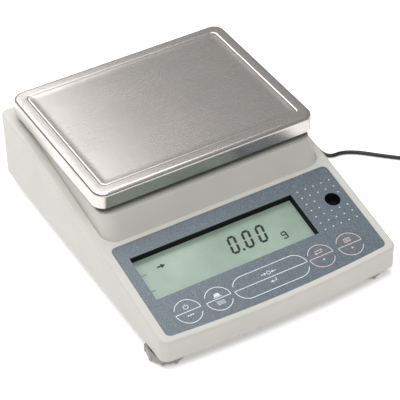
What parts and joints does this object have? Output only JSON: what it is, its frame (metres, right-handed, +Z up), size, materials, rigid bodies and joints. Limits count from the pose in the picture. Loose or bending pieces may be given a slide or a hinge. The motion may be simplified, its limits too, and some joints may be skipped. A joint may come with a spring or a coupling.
{
  "type": "analytical balance",
  "caption": "Low top-loading laboratory balance: flat steel pan over a wedge-shaped case with a display, keys, a bubble level, levelling feet and a plug-in mains lead.",
  "frame": {"origin": "on the bench under the middle of the case, the feet as stored", "axes": "+X to the user's right, +Y from the keys to the rear wall, +Z up"},
  "size_m": [0.3519, 0.3384, 0.0742],
  "materials": {
    "case_plastic": "fine moulded texture, light warm grey",
    "base_plastic": "moulded texture, mid grey",
    "panel_print": "satin film, fine speckle",
    "key_print": "satin film, fine speckle",
    "black_plastic": "satin",
    "display_glass": "reflective display behind glass",
    "clear_vial": "clear, liquid filled",
    "steel": "fine brushed",
    "screw_steel": "plated",
    "cast_aluminium": "cast and machined",
    "brass": "machined",
    "copper_wire": "varnished winding",
    "magnet_iron": "turned",
    "circuit_board": "solder mask",
    "soft_rubber": "matt",
    "foot_plastic": "satin, ribbed",
    "lead_cover": "satin"
  },
  "bodies": {
    "case": {"upper_housing": "case_plastic", "platform_cover": "case_plastic", "bottom_cover": "base_plastic", "cover_screws": "screw_steel", "cell_screws": "screw_steel", "board_screws": "screw_steel", "foot_inserts": "brass", "control_panel_film": "panel_print", "lcd_bezel": "black_plastic", "lcd_panel": "display_glass", "display_board": "circuit_board", "key_switches": "black_plastic", "bubble_level_cup": "black_plastic", "bubble_level_vial": "clear_vial", "cell_base": "cast_aluminium", "magnet_yoke": "magnet_iron", "magnet": "screw_steel", "pole_cap": "magnet_iron", "position_sensor": "black_plastic", "overload_stops": "screw_steel", "main_board": "circuit_board", "main_board_parts": "black_plastic", "power_jack": "black_plastic", "data_port": "black_plastic", "ribbon_cable": "lead_cover", "dc_plug": "black_plastic", "plug_relief": "lead_cover", "power_lead": "lead_cover", "lead_coil": "lead_cover", "coil_tie": "lead_cover", "lead_tail": "lead_cover", "adapter_relief": "lead_cover", "adapter_housing": "black_plastic", "adapter_pins": "screw_steel"},
    "load_carrier": {"load_carrier": "cast_aluminium", "pan_support": "cast_aluminium", "pan_cushions": "soft_rubber"},
    "pan": {"pan": "steel"},
    "upper_guide": {"upper_guide": "cast_aluminium"},
    "lower_guide": {"lower_guide": "cast_aluminium"},
    "lever": {"lever": "cast_aluminium", "force_coil": "copper_wire", "sensor_flag": "black_plastic"},
    "power_key": {"power_key": "key_print"},
    "calibrate_key": {"calibrate_key": "key_print"},
    "tare_key": {"tare_key": "key_print"},
    "unit_key": {"unit_key": "key_print"},
    "print_key": {"print_key": "key_print"},
    "front_left_foot_pad": {"front_left_foot_pad": "soft_rubber"},
    "front_left_foot_wheel": {"front_left_foot_wheel": "foot_plastic", "front_left_foot_stud": "screw_steel"},
    "front_right_foot_pad": {"front_right_foot_pad": "soft_rubber"},
    "front_right_foot_wheel": {"front_right_foot_wheel": "foot_plastic", "front_right_foot_stud": "screw_steel"},
    "rear_left_foot_pad": {"rear_left_foot_pad": "soft_rubber"},
    "rear_left_foot_wheel": {"rear_left_foot_wheel": "foot_plastic", "rear_left_foot_stud": "screw_steel"},
    "rear_right_foot_pad": {"rear_right_foot_pad": "soft_rubber"},
    "rear_right_foot_wheel": {"rear_right_foot_wheel": "foot_plastic", "rear_right_foot_stud": "screw_steel"}
  },
  "joints": [
    {"name": "load_travel", "type": "slide", "parent": "case", "child": "load_carrier", "axis": [0, 0, 1], "range_m": [-0.0004, 0], "stiffness_N_per_m": 8000, "springref_m": 0.0013},
    {"name": "lever_tilt", "type": "hinge", "parent": "case", "child": "lever", "pos_m": [0, 0.025, 0.036], "axis": [1, 0, 0], "range_deg": [-2.3, 0]},
    {"name": "upper_guide_swing", "type": "hinge", "parent": "case", "child": "upper_guide", "pos_m": [0, 0.0862, 0.046], "axis": [1, 0, 0], "range_deg": [0, 0.61]},
    {"name": "lower_guide_swing", "type": "hinge", "parent": "case", "child": "lower_guide", "pos_m": [0, 0.0862, 0.024], "axis": [1, 0, 0], "range_deg": [0, 0.61]},
    {"name": "pan_lift", "type": "slide", "parent": "load_carrier", "child": "pan", "axis": [0, 0, 1], "range_m": [0, 0.06]},
    {"name": "power_press", "type": "slide", "parent": "case", "child": "power_key", "axis": [0, 0.2101, -0.9777], "range_m": [0, 0.0004], "stiffness_N_per_m": 1500, "springref_m": -0.0003},
    {"name": "calibrate_press", "type": "slide", "parent": "case", "child": "calibrate_key", "axis": [0, 0.2101, -0.9777], "range_m": [0, 0.0004], "stiffness_N_per_m": 1500, "springref_m": -0.0003},
    {"name": "tare_press", "type": "slide", "parent": "case", "child": "tare_key", "axis": [0, 0.2101, -0.9777], "range_m": [0, 0.0004], "stiffness_N_per_m": 1500, "springref_m": -0.0003},
    {"name": "unit_press", "type": "slide", "parent": "case", "child": "unit_key", "axis": [0, 0.2101, -0.9777], "range_m": [0, 0.0004], "stiffness_N_per_m": 1500, "springref_m": -0.0003},
    {"name": "print_press", "type": "slide", "parent": "case", "child": "print_key", "axis": [0, 0.2101, -0.9777], "range_m": [0, 0.0004], "stiffness_N_per_m": 1500, "springref_m": -0.0003},
    {"name": "front_left_foot_lift", "type": "slide", "parent": "case", "child": "front_left_foot_pad", "axis": [0, 0, 1], "range_m": [-0.003, 0.0008]},
    {"name": "front_left_foot_turn", "type": "hinge", "parent": "front_left_foot_pad", "child": "front_left_foot_wheel", "pos_m": [-0.0749, -0.0927, 0.004], "axis": [0, 0, 1], "range_deg": [-1080, 288]},
    {"name": "front_right_foot_lift", "type": "slide", "parent": "case", "child": "front_right_foot_pad", "axis": [0, 0, 1], "range_m": [-0.003, 0.0008]},
    {"name": "front_right_foot_turn", "type": "hinge", "parent": "front_right_foot_pad", "child": "front_right_foot_wheel", "pos_m": [0.0712, -0.0927, 0.004], "axis": [0, 0, 1], "range_deg": [-1080, 288]},
    {"name": "rear_left_foot_lift", "type": "slide", "parent": "case", "child": "rear_left_foot_pad", "axis": [0, 0, 1], "range_m": [-0.003, 0.0008]},
    {"name": "rear_left_foot_turn", "type": "hinge", "parent": "rear_left_foot_pad", "child": "rear_left_foot_wheel", "pos_m": [-0.0678, 0.075, 0.004], "axis": [0, 0, 1], "range_deg": [-1080, 288]},
    {"name": "rear_right_foot_lift", "type": "slide", "parent": "case", "child": "rear_right_foot_pad", "axis": [0, 0, 1], "range_m": [-0.003, 0.0008]},
    {"name": "rear_right_foot_turn", "type": "hinge", "parent": "rear_right_foot_pad", "child": "rear_right_foot_wheel", "pos_m": [0.0678, 0.075, 0.004], "axis": [0, 0, 1], "range_deg": [-1080, 288]}
  ],
  "couplings": [
    {"joint": "lever_tilt", "follows": "load_travel", "rad_per_m": 100},
    {"joint": "upper_guide_swing", "follows": "load_travel", "rad_per_m": -26.316},
    {"joint": "lower_guide_swing", "follows": "load_travel", "rad_per_m": -26.316},
    {"joint": "front_left_foot_turn", "follows": "front_left_foot_lift", "rad_per_m": 6280},
    {"joint": "front_right_foot_turn", "follows": "front_right_foot_lift", "rad_per_m": 6280},
    {"joint": "rear_left_foot_turn", "follows": "rear_left_foot_lift", "rad_per_m": 6280},
    {"joint": "rear_right_foot_turn", "follows": "rear_right_foot_lift", "rad_per_m": 6280}
  ]
}
